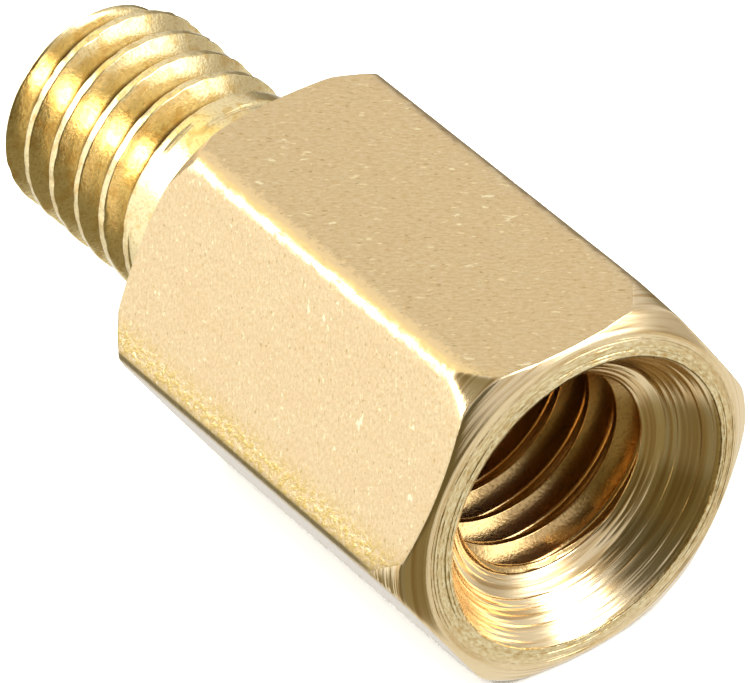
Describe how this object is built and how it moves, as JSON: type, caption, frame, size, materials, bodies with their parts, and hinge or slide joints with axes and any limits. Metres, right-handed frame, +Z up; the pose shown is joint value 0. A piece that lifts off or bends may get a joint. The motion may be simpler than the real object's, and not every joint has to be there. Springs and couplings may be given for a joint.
{
  "type": "hex standoff",
  "caption": "Brass hex standoff: a hexagonal spacer with a threaded stud at one end and a countersunk tapped hole at the other, to hold a circuit board off a panel.",
  "frame": {"origin": "centre of the rectangle that the part covers on the surface it lies on, below its axis", "axes": "+X along the axis, from the stud's tip to the female end; +Z up, square to the flat it lies on"},
  "size_m": [0.013, 0.0068, 0.006],
  "materials": {
    "brass": "satin drawn flats, bright turned end and thread"
  },
  "bodies": {
    "root": {"hex_standoff": "brass"}
  },
  "joints": []
}
